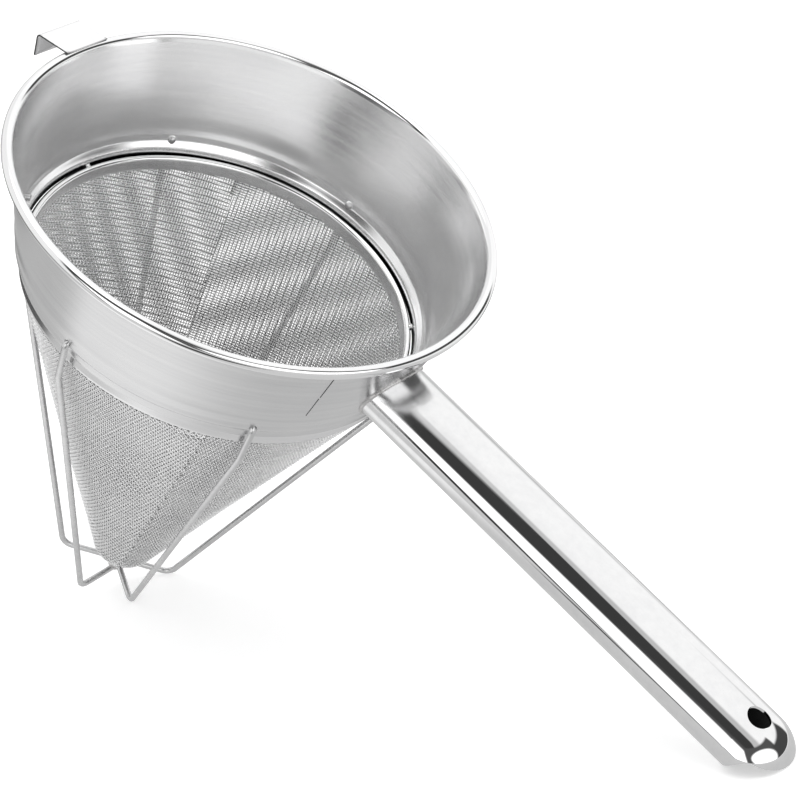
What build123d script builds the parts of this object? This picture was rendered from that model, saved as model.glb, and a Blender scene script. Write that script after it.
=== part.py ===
from build123d import *
import os
from math import acos, asin, atan2, cos, degrees, hypot, radians, sin, tan

# Conical fine-mesh strainer with a sheet band, a wire guard, a hollow handle and a rest hook.
# It is modelled as it stands on a table: on two feet of its guard and on the end of its handle,
# so the cone's axis leans. Sizes are in mm. In the tool's own coordinates, r and z are measured
# from the centre of the rim bead, z runs up the cone's axis, and the handle is at azimuth 0.

os.makedirs("parts", exist_ok=True)

# --- band -------------------------------------------------------------------------------------
rim_outer_r = 101.6         # 8 in strainer
bead_r = 2.3                # outside of the rolled bead
sheet = 0.9                 # band sheet
crease_r = 86.1             # middle of the sheet where the wall folds into the lip
crease_z = -42.1
lip_r = 83.2
lip_z = -49.6
curl_turn = 285.0           # how far the bead is rolled, in degrees

# --- mesh -------------------------------------------------------------------------------------
channel_sheet = 0.6
channel_r = 80.75           # middle of the channel's width
channel_half = 1.25         # from there to the middle of either leg
channel_top_z = -49.5
channel_foot_z = -55.6
hoop_wire_d = 0.88
mesh_top_r = 80.1           # middle of the fine mesh where it enters the channel
mesh_top_z = -51.6
cone_top_z = -56.4
fine_mesh_t = 0.35
support_mesh_t = 0.45
mesh_gap = 0.02
tip_z = -216.0
tip_r = 14.0
mesh_seam_az = -68.0
mesh_seam_w = 5.0
mesh_seam_t = 0.45

# --- guard ------------------------------------------------------------------------------------
guard_d = 2.7
hole_d = 3.5                # in the band's lip, for each leg's end
leg_end_r = 84.3
leg_hole_z = -44.2
leg_shoulder_r = 87.0
kink_r = 85.1
kink_z = -62.6
shoulder_bend = 1.8
kink_bend = 14.0
foot_bend = 6.0
# Each wire is one long U: azimuth at the band, azimuth and radius at the foot, for both legs.
guard_wires = {
    "guard_wire_side": {"z": -223.6, "legs": [(-92.8, -89.0, 22.8), (93.0, 90.0, 23.5)]},
    "guard_wire_front": {"z": -220.6, "legs": [(-38.9, -30.0, 24.0), (149.5, 150.0, 24.0)]},
    "guard_wire_back": {"z": -222.3, "legs": [(-151.5, -150.5, 25.7), (23.0, 44.0, 25.0)]},
}
hub_r = 4.0
hub_half = 3.0
peen_r = 2.4
peen_t = 0.6

# --- pins that carry the mesh ring ------------------------------------------------------------
pin_d = 1.8
pin_azimuths = (178.4, 44.1, -65.0)
pin_start = 1.25            # from the middle of the ring's rounded top
pin_end = 2.95
pin_rise = 38.8             # degrees, up outwards

# --- handle -----------------------------------------------------------------------------------
handle_root_r = 96.5        # where the handle's axis starts, inside the band
handle_root_z = -32.3
handle_slope = -4.7         # degrees, down towards its end
handle_half_w = 16.4
handle_half_h = 11.5
handle_wall = 1.2
handle_len = 203.5          # along its axis, from the start to the tip
tongue_cut_s = 181.0        # where the underside is cut away
tongue_edge_v = 4.7         # height of the tongue's lower edge over the handle's axis
hang_hole_s = 182.5
hang_hole_d = 10.0
hang_hole_lip = 0.5
weld_w = 1.7

# --- rest hook --------------------------------------------------------------------------------
hook_w = 23.0
hook_t = 0.8
hook_in_r = 98.6
hook_out_r = 115.4
hook_drop_z = -9.4
hook_slope = 8.0            # degrees, down outwards
hook_bend = 1.8

# --- standing pose ----------------------------------------------------------------------------
# The floor touches the front foot's bend and the lower edge of the handle's cut end.
handle_fall = radians(-handle_slope)
contact_x = handle_root_r + tongue_cut_s * cos(handle_fall) - handle_half_h * sin(handle_fall)
contact_z = handle_root_z - tongue_cut_s * sin(handle_fall) - handle_half_h * cos(handle_fall)
foot_level = guard_wires["guard_wire_front"]["z"]
front_foot_az, front_foot_r = guard_wires["guard_wire_front"]["legs"][0][1:]
leg_rise = atan2(kink_z - foot_level, kink_r - front_foot_r)
foot_x = (front_foot_r - foot_bend * tan(leg_rise / 2)) * cos(radians(front_foot_az))
foot_z = foot_level + foot_bend
foot_reach = foot_bend * 0.96 + guard_d / 2
span = hypot(contact_x - foot_x, contact_z - foot_z)
lean = degrees(atan2(contact_z - foot_z, contact_x - foot_x) + asin(foot_reach / span))
rim_height = contact_x * sin(radians(lean)) - contact_z * cos(radians(lean))
rim_offset = -44.7          # from the middle of the overall length to the rim's centre
tool = Plane(
    origin=(rim_offset, 0, rim_height),
    x_dir=(cos(radians(lean)), 0, -sin(radians(lean))),
    z_dir=(sin(radians(lean)), 0, cos(radians(lean))),
)
cone_axis = Axis(tool.origin, tool.z_dir)


def at(r, azimuth, z):
    """The place of a point given by its radius, azimuth and height on the cone's axis."""
    a = radians(azimuth)
    return tool.from_local_coords(Vector(r * cos(a), r * sin(a), z))


def radial_plane(azimuth):
    """The half plane through the axis at an azimuth: its local x is the radius, local y is z."""
    a = radians(azimuth)
    x_dir = tool.x_dir * cos(a) + tool.y_dir * sin(a)
    return Plane(tool.origin, x_dir=x_dir, z_dir=x_dir.cross(tool.z_dir))


def save(part, name):
    part.label = name
    export_step(part, f"parts/{name}.step")


profile_plane = radial_plane(0)

# The bead is a circle; the wall meets it on the tangent from the crease.
bead_centre_r = rim_outer_r - bead_r
curl_r = bead_r - sheet / 2
crease_to_bead = hypot(bead_centre_r - crease_r, crease_z)
wall_angle = atan2(-crease_z, bead_centre_r - crease_r) + asin(curl_r / crease_to_bead)
curl_start = degrees(wall_angle) + 90
wall_top_r = bead_centre_r + curl_r * cos(radians(curl_start))
wall_top_z = curl_r * sin(radians(curl_start))


def wall_r(z, out=0.0):
    """Radius of the middle of the band's wall at height z, moved out by a distance."""
    return crease_r + (z - crease_z) / tan(wall_angle) + out / sin(wall_angle)


lip_angle = atan2(crease_z - lip_z, crease_r - lip_r)
hole_r = crease_r + (leg_hole_z - crease_z) / tan(lip_angle)


# --- band: one sheet, rolled at the rim, folded to a lip at the bottom --------------------------
with BuildPart() as band:
    with BuildSketch(profile_plane):
        with BuildLine():
            Line((lip_r, lip_z), (crease_r, crease_z))
            Line((crease_r, crease_z), (wall_top_r, wall_top_z))
            CenterArc((bead_centre_r, 0), curl_r, curl_start, -curl_turn)
        trace(line_width=sheet)
    revolve(axis=cone_axis)
    for wire in guard_wires.values():
        for band_azimuth, foot_azimuth, foot_r in wire["legs"]:
            with BuildSketch(Plane(at(0, 0, leg_hole_z), z_dir=radial_plane(band_azimuth).x_dir)):
                Circle(hole_d / 2)
            extrude(amount=rim_outer_r, mode=Mode.SUBTRACT)
save(band.part, "band")

# --- weld line where the ends of the band's sheet meet ------------------------------------------
band_seam_az = -27.2
band_seam_half_w = 0.45
with BuildPart() as band_seam_weld:
    with BuildSketch(profile_plane):
        Polygon(
            (wall_r(-4, sheet / 2), -4),
            (wall_r(-40, sheet / 2), -40),
            (wall_r(-40, sheet / 2 + 0.25), -40),
            (wall_r(-4, sheet / 2 + 0.25), -4),
            align=None,
        )
    revolve(axis=cone_axis)
    with BuildSketch(radial_plane(band_seam_az)):
        Polygon((80, -41), (100, -41), (100, 0), (80, 0), align=None)
    extrude(amount=band_seam_half_w, both=True, mode=Mode.INTERSECT)
save(band_seam_weld.part, "band_seam_weld")

# --- ring that clamps the mesh: a sheet channel open downwards ----------------------------------
leg_top_z = channel_top_z - channel_half - channel_sheet / 2
with BuildPart() as mesh_ring:
    with BuildSketch(profile_plane):
        with BuildLine():
            Line((channel_r - channel_half, channel_foot_z), (channel_r - channel_half, leg_top_z))
            CenterArc((channel_r, leg_top_z), channel_half, 180, -180)
            Line((channel_r + channel_half, leg_top_z), (channel_r + channel_half, channel_foot_z))
        trace(line_width=channel_sheet)
    revolve(axis=cone_axis)
save(mesh_ring.part, "mesh_ring")

# --- hoop wire inside the ring, beside the mesh -------------------------------------------------
with BuildPart() as hoop_wire:
    with BuildSketch(profile_plane):
        with Locations((channel_r + 0.49, leg_top_z - 1.2)):
            Circle(hoop_wire_d / 2)
    revolve(axis=cone_axis)
save(hoop_wire.part, "hoop_wire")


# --- mesh cones: the fine mesh inside, the coarser support mesh over it -------------------------
ball_z = tip_z + tip_r
cone_reach = hypot(mesh_top_r, cone_top_z - ball_z)
tangent_angle = atan2(cone_top_z - ball_z, mesh_top_r) - acos(tip_r / cone_reach)


def mesh_cone(offset, thickness):
    """A cone of mesh with a round tip, parallel to the fine mesh's middle and outside it."""
    top_r = mesh_top_r + offset
    fold_z = cone_top_z + offset * (1 - cos(tangent_angle)) / sin(tangent_angle)
    ball_r = tip_r + offset
    tangent = (ball_r * cos(tangent_angle), ball_z + ball_r * sin(tangent_angle))
    sweep_angle = -90 - degrees(tangent_angle)
    with BuildPart() as cone:
        with BuildSketch(profile_plane):
            with BuildLine():
                Line((top_r, mesh_top_z), (top_r, fold_z))
                Line((top_r, fold_z), tangent)
                CenterArc((0, ball_z), ball_r, degrees(tangent_angle), sweep_angle)
            trace(line_width=thickness)
        revolve(axis=cone_axis)
    return cone.part


support_offset = fine_mesh_t / 2 + mesh_gap + support_mesh_t / 2
fine_mesh = mesh_cone(0, fine_mesh_t)
support_mesh = mesh_cone(support_offset, support_mesh_t)
save(fine_mesh, "fine_mesh")
save(support_mesh, "support_mesh")

# --- lap strip along the mesh's seam ------------------------------------------------------------
seam_offset = support_offset + support_mesh_t / 2 + mesh_gap + mesh_seam_t / 2
seam_shell = mesh_cone(seam_offset, mesh_seam_t)
with BuildPart() as mesh_seam:
    add(seam_shell)
    with BuildSketch(radial_plane(mesh_seam_az)):
        Polygon((16, -190), (90, -190), (90, cone_top_z - 1.5), (16, cone_top_z - 1.5), align=None)
    extrude(amount=mesh_seam_w / 2, both=True, mode=Mode.INTERSECT)
save(mesh_seam.part, "mesh_seam")

# --- guard: three U-shaped wires that cross and are welded under the cone's tip -----------------
crossed = []
for name, wire in guard_wires.items():
    (az_a, foot_a, r_a), (az_b, foot_b, r_b) = wire["legs"]
    route = [
        at(leg_end_r, az_a, leg_hole_z),
        at(leg_shoulder_r, az_a, leg_hole_z),
        at(kink_r, az_a, kink_z),
        at(r_a, foot_a, wire["z"]),
        at(r_b, foot_b, wire["z"]),
        at(kink_r, az_b, kink_z),
        at(leg_shoulder_r, az_b, leg_hole_z),
        at(leg_end_r, az_b, leg_hole_z),
    ]
    bends = [shoulder_bend, kink_bend, foot_bend, foot_bend, kink_bend, shoulder_bend]
    with BuildPart() as guard_wire:
        with BuildLine():
            FilletPolyline(*route, radius=bends)
        with BuildSketch(Plane(route[0], z_dir=route[1] - route[0])):
            Circle(guard_d / 2)
        sweep()
    whole_wire = guard_wire.part
    with BuildPart() as notched_wire:
        add(whole_wire)
        for other in crossed:
            add(other, mode=Mode.SUBTRACT)
    crossed.append(whole_wire)
    save(notched_wire.part, name)

# --- weld at the crossing -----------------------------------------------------------------------
hub_z = -222.2
with BuildPart() as hub_weld:
    with BuildSketch(Plane(at(0, 0, hub_z), z_dir=tool.z_dir)):
        Circle(hub_r)
    extrude(amount=hub_half, both=True)
    fillet(hub_weld.edges().filter_by(GeomType.CIRCLE), hub_half - 0.7)
    for wire_part in crossed:
        add(wire_part, mode=Mode.SUBTRACT)
save(hub_weld.part, "hub_weld")

# --- peened and welded ends of the legs, inside the band ----------------------------------------
with BuildPart() as leg_end_welds:
    for wire in guard_wires.values():
        for band_azimuth, foot_azimuth, foot_r in wire["legs"]:
            outward = radial_plane(band_azimuth).x_dir
            inward_normal = tool.z_dir * cos(lip_angle) - outward * sin(lip_angle)
            start = at(hole_r, band_azimuth, leg_hole_z)
            with BuildSketch(Plane(start, z_dir=inward_normal)):
                Circle(peen_r)
            extrude(amount=sheet / 2 + peen_t, taper=18)
    add(band.part, mode=Mode.SUBTRACT)
    for wire_part in crossed:
        add(wire_part, mode=Mode.SUBTRACT)
save(leg_end_welds.part, "leg_end_welds")

# --- pins between the band's lip and the mesh ring ----------------------------------------------
with BuildPart() as ring_pins:
    for azimuth in pin_azimuths:
        rise = radians(pin_rise)
        middle = at(channel_r, azimuth, leg_top_z)
        pin_dir = radial_plane(azimuth).x_dir * cos(rise) + tool.z_dir * sin(rise)
        with BuildSketch(Plane(middle + pin_dir * pin_start, z_dir=pin_dir)):
            Circle(pin_d / 2)
        extrude(amount=pin_end - pin_start)
    add(band.part, mode=Mode.SUBTRACT)
    add(mesh_ring.part, mode=Mode.SUBTRACT)
save(ring_pins.part, "ring_pins")

# --- handle: a hollow oval tube whose top runs on as a round-ended tongue -----------------------
fall = handle_fall
handle_dir = tool.x_dir * cos(fall) - tool.z_dir * sin(fall)
handle_up = tool.x_dir * sin(fall) + tool.z_dir * cos(fall)
handle_start = at(handle_root_r, 0, handle_root_z)
nose_s = handle_len - handle_half_w


def along(s, v=0.0):
    """A point over the handle's middle, s along its axis and v above it."""
    return handle_start + handle_dir * s + handle_up * v


section_plane = Plane(along(0), x_dir=tool.y_dir, z_dir=handle_dir)
side_plane = Plane(along(0), x_dir=handle_dir, z_dir=handle_dir.cross(handle_up))
nose_plane = Plane(along(nose_s), x_dir=handle_dir, z_dir=handle_dir.cross(handle_up))
nose_axis = Axis(along(nose_s), handle_up)


def handle_body(inset):
    """The handle's full outline moved in by a wall: an oval bar with a dome for its end."""
    half_w = handle_half_w - inset
    half_h = handle_half_h - inset
    with BuildPart() as body:
        with BuildSketch(section_plane.offset(-20)):
            Ellipse(half_w, half_h)
        extrude(amount=nose_s + 20)
        with BuildSketch(nose_plane):
            Ellipse(half_w, half_h)
            with Locations((-half_w, 0)):
                Rectangle(2 * half_w, 4 * half_h, mode=Mode.SUBTRACT)
        revolve(axis=nose_axis)
    return body.part


def band_solid(out):
    """The room that the band fills, as a solid cone, its wall moved out by a distance."""
    with BuildPart() as solid:
        with BuildSketch(profile_plane):
            Polygon(
                (0, 20),
                (wall_r(20, out), 20),
                (wall_r(-70, out), -70),
                (0, -70),
                align=None,
            )
        revolve(axis=cone_axis)
    return solid.part


band_room = band_solid(sheet / 2)
handle_outer = handle_body(0)
with BuildPart() as handle:
    add(handle_outer)
    add(handle_body(handle_wall), mode=Mode.SUBTRACT)
    with BuildSketch(side_plane):
        with BuildLine():
            Line((tongue_cut_s, -20), (tongue_cut_s, -handle_half_h))
            Spline(
                (tongue_cut_s, -handle_half_h),
                (tongue_cut_s + 5.5, -1.5),
                (tongue_cut_s + 12, tongue_edge_v),
                tangents=[(0.5, 1), (1, 0)],
            )
            Line((tongue_cut_s + 12, tongue_edge_v), (handle_len + 10, tongue_edge_v))
            Line((handle_len + 10, tongue_edge_v), (handle_len + 10, -20))
            Line((handle_len + 10, -20), (tongue_cut_s, -20))
        make_face()
    extrude(amount=handle_half_w + 5, both=True, mode=Mode.SUBTRACT)
    with BuildSketch(Plane(along(hang_hole_s, 4), z_dir=handle_up)):
        Circle(hang_hole_d / 2)
    extrude(amount=handle_half_h, mode=Mode.SUBTRACT)
    add(band_room, mode=Mode.SUBTRACT)
save(handle.part, "handle")

# --- weld bead round the handle's root ----------------------------------------------------------
with BuildPart() as handle_weld:
    with BuildSketch(section_plane.offset(-20)):
        Ellipse(handle_half_w + weld_w, handle_half_h + weld_w)
        Ellipse(handle_half_w, handle_half_h, mode=Mode.SUBTRACT)
    extrude(amount=60)
    add(band_solid(sheet / 2 + weld_w), mode=Mode.INTERSECT)
    add(band_room, mode=Mode.SUBTRACT)
save(handle_weld.part, "handle_weld")

# --- rest hook: a bent strip on top of the bead, opposite the handle ----------------------------
hook_plane = radial_plane(180)
hook_z = bead_r + hook_t / 2
hook_bend_z = hook_z - (hook_out_r - hook_in_r) * tan(radians(hook_slope))
with BuildPart() as rest_hook:
    with BuildSketch(hook_plane):
        with BuildLine():
            FilletPolyline(
                (hook_in_r, hook_z),
                (hook_out_r, hook_bend_z),
                (hook_out_r - 1.2, hook_drop_z),
                radius=hook_bend,
            )
        trace(line_width=hook_t)
    extrude(amount=hook_w / 2, both=True)
    add(band.part, mode=Mode.SUBTRACT)
save(rest_hook.part, "rest_hook")

# --- welds under the hook, between the strip and the bead ---------------------------------------
with BuildPart() as hook_welds:
    with BuildSketch(hook_plane):
        Polygon(
            (bead_centre_r + 0.2, 0.6),
            (bead_centre_r + 3.6, 0.6),
            (bead_centre_r + 3.6, 4),
            (bead_centre_r + 0.2, 4),
            align=None,
        )
    extrude(amount=hook_w / 2 - 3, both=True)
    with BuildSketch(hook_plane):
        Polygon((80, -5), (120, -5), (120, 8), (80, 8), align=None)
    extrude(amount=hook_w / 2 - 9, both=True, mode=Mode.SUBTRACT)
    add(band.part, mode=Mode.SUBTRACT)
    with BuildSketch(hook_plane):
        Polygon(
            (80, hook_z + (hook_in_r - 80) * tan(radians(hook_slope))),
            (130, hook_z - (130 - hook_in_r) * tan(radians(hook_slope))),
            (130, 20),
            (80, 20),
            align=None,
        )
    extrude(amount=hook_w, both=True, mode=Mode.SUBTRACT)
    add(rest_hook.part, mode=Mode.SUBTRACT)
    with BuildSketch(profile_plane):
        with Locations((bead_centre_r, 0)):
            Circle(bead_r)
    revolve(axis=cone_axis, mode=Mode.SUBTRACT)
save(hook_welds.part, "hook_welds")
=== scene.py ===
from math import acos, asin, atan2, cos, hypot, pi, radians, sin, sqrt, tan

import bpy
import bmesh
import numpy as np
from mathutils import Matrix, Vector


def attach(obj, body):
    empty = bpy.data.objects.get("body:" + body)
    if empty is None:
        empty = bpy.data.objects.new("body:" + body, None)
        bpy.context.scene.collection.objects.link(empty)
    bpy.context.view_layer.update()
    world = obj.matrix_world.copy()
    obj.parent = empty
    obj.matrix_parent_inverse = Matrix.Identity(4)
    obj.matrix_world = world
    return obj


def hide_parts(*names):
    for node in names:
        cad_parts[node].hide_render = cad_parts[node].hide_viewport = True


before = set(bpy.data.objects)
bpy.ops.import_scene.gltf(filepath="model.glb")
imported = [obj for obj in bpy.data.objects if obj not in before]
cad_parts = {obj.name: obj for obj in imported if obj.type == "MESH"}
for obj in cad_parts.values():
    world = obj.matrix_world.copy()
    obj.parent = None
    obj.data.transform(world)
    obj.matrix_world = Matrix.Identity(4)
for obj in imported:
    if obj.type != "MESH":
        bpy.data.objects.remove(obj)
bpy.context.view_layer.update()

# ---------------------------------------------------------------------------------------------
# Sizes in mm, in the strainer's own coordinates: z runs up the cone's axis from the centre of the
# rim bead, x runs towards the handle. They are the CAD model's, but the lip has a step here and its
# edge reaches a little lower.
# ---------------------------------------------------------------------------------------------
LEAN = radians(32.4378)
RIM_CENTRE = np.array([-44.7, 0.0, 197.465])

BEAD_R = 2.3
BEAD_CENTRE_R = 99.3
SHEET = 0.9
CREASE = (86.1, -42.1)
LIP = (83.0, -50.9)
LIP_STEP = ((83.6, -47.4), (85.75, -45.0))
CURL_TURN = radians(285)

CHANNEL_SHEET = 0.6
CHANNEL_R = 80.75
CHANNEL_HALF = 1.25
CHANNEL_LEG_TOP = -51.05
CHANNEL_FOOT = -55.6

CONE_TOP_R = 80.1
CONE_TOP_Z = -56.4
MESH_TOP_Z = -51.6
TIP_Z = -216.0
TIP_R = 14.0

BALL_TO_CONE_TOP = CONE_TOP_Z - TIP_Z - TIP_R
CLOTH_ANGLE = acos(TIP_R / hypot(CONE_TOP_R, BALL_TO_CONE_TOP)) - atan2(BALL_TO_CONE_TOP, CONE_TOP_R)

GUARD_R = 1.35
LEG_HOLE_Z = -44.2
LEG_HOLE_R = 1.75
LEG_END_R = 84.3
SHOULDER_R = 87.0
KINK = (85.1, -62.6)
GUARD_CORNER_R = [1.8, 14, 6, 6, 14, 1.8]
# Each wire's level at the hub, and its two legs: azimuth at the lip, azimuth and radius of the foot.
GUARD_WIRES = {
    "guard_wire_side": (-223.6, (-92.8, -89.0, 22.8), (93.0, 90.0, 23.5)),
    "guard_wire_front": (-220.6, (-38.9, -30.0, 24.0), (149.5, 150.0, 24.0)),
    "guard_wire_back": (-222.3, (-151.5, -150.5, 25.7), (23.0, 44.0, 25.0)),
}

HANDLE_START = (96.5, -32.3)
HANDLE_FALL = radians(4.7)
HANDLE_W = 16.4
HANDLE_H = 11.5
HANDLE_WALL = 1.2
HANDLE_LEN = 203.5
ROOT_S = 20.0
NOSE_S = HANDLE_LEN - HANDLE_W
CUT_S = 181.0
CUT_V = 4.7
HOLE_S = 182.5
HOLE_R = 5.0

PIN_AZIMUTHS = (178.4, 44.1, -65.0)
PIN_RISE = radians(38.8)

HOOK_W = 23.0
HOOK_T = 0.8
HOOK_SLOPE = radians(8)
HOOK_START_R = 98.6
HOOK_BEND_R = 115.4
HOOK_END = (114.2, -9.4)
HOOK_WELD = (-101.6, 6.0, 1.5)

SHARP_TURN = radians(38)
PIECE_TRIANGLES = 180000


# ---------------------------------------------------------------------------------------------
# Places
# ---------------------------------------------------------------------------------------------
def to_row(points):
    """Points in the strainer's coordinates, in mm, to the row frame, in metres."""
    p = np.asarray(points, float).reshape(-1, 3)
    out = np.empty_like(p)
    out[:, 0] = RIM_CENTRE[0] + p[:, 0] * cos(LEAN) + p[:, 2] * sin(LEAN)
    out[:, 1] = RIM_CENTRE[1] + p[:, 1]
    out[:, 2] = RIM_CENTRE[2] - p[:, 0] * sin(LEAN) + p[:, 2] * cos(LEAN)
    return out / 1000


def from_row(points):
    """Points in the row frame, in metres, to the strainer's coordinates, in mm."""
    x, y, z = (np.asarray(points, float) * 1000 - RIM_CENTRE).T
    return np.stack([x * cos(LEAN) - z * sin(LEAN), y, x * sin(LEAN) + z * cos(LEAN)], axis=1)


def polar(r, azimuth, z):
    """A point at an azimuth in degrees."""
    a = radians(azimuth)
    return np.array([r * cos(a), r * sin(a), z])


def along_handle(s, u, v):
    """A point s along the handle's axis, u to its left and v above it."""
    x = HANDLE_START[0] + s * cos(HANDLE_FALL) + v * sin(HANDLE_FALL)
    z = HANDLE_START[1] - s * sin(HANDLE_FALL) + v * cos(HANDLE_FALL)
    return np.array([x, u, z])


# ---------------------------------------------------------------------------------------------
# Mesh helpers
# ---------------------------------------------------------------------------------------------
def piece(name, points, faces, material, replaces):
    mesh = bpy.data.meshes.new(name)
    mesh.from_pydata([tuple(p) for p in to_row(points)], [], [tuple(f) for f in faces])
    mesh.polygons.foreach_set("use_smooth", [True] * len(mesh.polygons))
    mesh.update()
    return finish_piece(name, mesh, material, replaces)


def finish_piece(name, mesh, material, replaces):
    obj = bpy.data.objects.new(name, mesh)
    bpy.context.scene.collection.objects.link(obj)
    obj.data.materials.clear()
    obj.data.materials.append(material)
    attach(obj, "root")
    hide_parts(*replaces)
    return obj


def clean_normals(obj):
    b = bmesh.new()
    b.from_mesh(obj.data)
    bmesh.ops.remove_doubles(b, verts=b.verts, dist=1e-7)
    bmesh.ops.recalc_face_normals(b, faces=b.faces)
    b.to_mesh(obj.data)
    b.free()


def apply_modifiers(obj):
    depsgraph = bpy.context.evaluated_depsgraph_get()
    baked = bpy.data.meshes.new_from_object(obj.evaluated_get(depsgraph))
    obj.modifiers.clear()
    obj.data = baked
    baked.set_sharp_from_angle(angle=SHARP_TURN)


def hole_cutter(name, pegs):
    """An object made of round pegs, each one a tube, to cut holes with."""
    points, faces = joined(pegs)
    mesh = bpy.data.meshes.new(name)
    mesh.from_pydata([tuple(p) for p in to_row(points)], [], faces)
    cutter = bpy.data.objects.new(name, mesh)
    bpy.context.scene.collection.objects.link(cutter)
    clean_normals(cutter)
    return cutter


def cut_holes(obj, cutter):
    holes = obj.modifiers.new("holes", "BOOLEAN")
    holes.object = cutter
    holes.solver = "EXACT"
    apply_modifiers(obj)
    bpy.data.objects.remove(cutter)


def rounded(points, radii, step):
    """A path through corners, each rounded with its own radius, in steps of about the given length."""
    pts = [np.array(p, float) for p in points]
    out = [pts[0]]
    for i, radius in enumerate(radii, 1):
        a, b, c = pts[i - 1], pts[i], pts[i + 1]
        d1 = (b - a) / np.linalg.norm(b - a)
        d2 = (c - b) / np.linalg.norm(c - b)
        turn = acos(max(-1.0, min(1.0, float(d1 @ d2))))
        if turn < 1e-4:
            out.append(b)
            continue
        reach = radius * tan(turn / 2)
        start = b - d1 * reach
        inward = d2 - d1 * float(d1 @ d2)
        inward /= np.linalg.norm(inward)
        centre = start + inward * radius
        count = max(3, int(radius * turn / step))
        for k in range(count + 1):
            t = turn * k / count
            out.append(centre - inward * radius * cos(t) + d1 * radius * sin(t))
    out.append(pts[-1])
    return np.array(out)


def resampled(path, spacing):
    path = np.asarray(path, float)
    seg = np.linalg.norm(np.diff(path, axis=0), axis=1)
    at = np.concatenate([[0], np.cumsum(seg)])
    keep = [0.0]
    for a, b in zip(at[:-1], at[1:]):
        n = max(1, int(np.ceil((b - a) / spacing)))
        keep += [a + (b - a) * k / n for k in range(1, n + 1)]
    return np.stack([np.interp(keep, at, path[:, i]) for i in range(path.shape[1])], axis=1)


def thickened(line, thickness):
    """The closed outline of a sheet whose middle is an open line, with rounded edges."""
    line = np.asarray(line, float)
    tangent = np.gradient(line, axis=0)
    tangent /= np.linalg.norm(tangent, axis=1)[:, None]
    normal = np.stack([-tangent[:, 1], tangent[:, 0]], axis=1)
    h = thickness / 2
    left = line + normal * h
    right = line - normal * h
    turns = (pi / 4, pi / 2, 3 * pi / 4)
    end_cap = [line[-1] + normal[-1] * h * cos(a) + tangent[-1] * h * sin(a) for a in turns]
    start_cap = [line[0] - normal[0] * h * cos(a) - tangent[0] * h * sin(a) for a in turns]
    return np.array(list(left) + end_cap + list(right[::-1]) + start_cap)


def revolved(outline, count, wobble):
    """Points and faces of a closed outline of (radius, height) turned round the axis. wobble gives how far
    each point moves out and up."""
    outline = np.asarray(outline, float)
    n = len(outline)
    az = np.arange(count) * 2 * pi / count
    r = np.repeat(outline[None, :, 0], count, 0)
    z = np.repeat(outline[None, :, 1], count, 0)
    a = np.repeat(az[:, None], n, 1)
    dr, dz = wobble(a, z)
    r, z = r + dr, z + dz
    points = np.stack([r * np.cos(a), r * np.sin(a), z], axis=-1).reshape(-1, 3)
    i = np.arange(count)[:, None]
    j = np.arange(n)[None, :]
    i2 = (i + 1) % count
    j2 = (j + 1) % n
    faces = np.stack([i * n + j, i2 * n + j, i2 * n + j2, i * n + j2], axis=-1).reshape(-1, 4)
    return points, faces


def tube(path, radius, sides, closed=False):
    """Points and faces of a tube along a path; radius may vary from point to point."""
    path = np.asarray(path, float)
    n = len(path)
    if closed:
        tangent = np.roll(path, -1, axis=0) - np.roll(path, 1, axis=0)
    else:
        tangent = np.gradient(path, axis=0)
    tangent /= np.linalg.norm(tangent, axis=1)[:, None]
    first = np.cross(tangent[0], [0.31, 0.55, 0.77])
    first /= np.linalg.norm(first)
    normals = [first]
    for k in range(1, n):
        v = normals[-1] - tangent[k] * float(normals[-1] @ tangent[k])
        normals.append(v / np.linalg.norm(v))
    normals = np.array(normals)
    binormals = np.cross(tangent, normals)
    ang = np.arange(sides) * 2 * pi / sides
    radius = np.broadcast_to(np.asarray(radius, float), (n,))
    ring = (np.cos(ang)[None, :, None] * normals[:, None, :]
            + np.sin(ang)[None, :, None] * binormals[:, None, :]) * radius[:, None, None]
    points = (path[:, None, :] + ring).reshape(-1, 3)
    rows = n if closed else n - 1
    i = np.arange(rows)[:, None]
    j = np.arange(sides)[None, :]
    i2 = (i + 1) % n
    j2 = (j + 1) % sides
    quads = np.stack([i * sides + j, i * sides + j2, i2 * sides + j2, i2 * sides + j], axis=-1)
    faces = [tuple(f) for f in quads.reshape(-1, 4)]
    if not closed:
        faces.append(tuple(range(sides))[::-1])
        faces.append(tuple((n - 1) * sides + k for k in range(sides)))
    return points, faces


def joined(parts):
    """Several lots of points and faces as one."""
    points, faces, base = [], [], 0
    for p, f in parts:
        points.append(p)
        faces += [tuple(int(k) + base for k in face) for face in f]
        base += len(p)
    return np.concatenate(points), faces


# ---------------------------------------------------------------------------------------------
# Materials
# ---------------------------------------------------------------------------------------------
# The radius, in metres, at which grain that runs round the axis has its true length.
ARC_RADIUS = 0.09
EDGE_ROUGH = 0.12
# The near-black colour that painted shade mixes into the steel.
PAINTED_SHADE_COLOR = (0.03, 0.03, 0.03, 1)
# Heights between which the lip's inside face is painted dark as painted shade, and radii between which the
# handle's root turns bright, in mm.
LIP_DARK_Z = (-49.6, -48.8)
ROOT_DULL_R = (104.0, 121.0)


def math_node(tree, operation, *values):
    """A Math node's output. Its values are numbers or other nodes' outputs."""
    n = tree.nodes.new("ShaderNodeMath")
    n.operation = operation
    for socket, value in zip(n.inputs, values):
        if isinstance(value, (int, float)):
            socket.default_value = value
        else:
            tree.links.new(value, socket)
    return n.outputs[0]


def length_node(tree, x, y):
    """How far the point (x, y) is from the origin."""
    squares = [math_node(tree, "MULTIPLY", side, side) for side in (x, y)]
    return math_node(tree, "SQRT", math_node(tree, "ADD", *squares))


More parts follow.
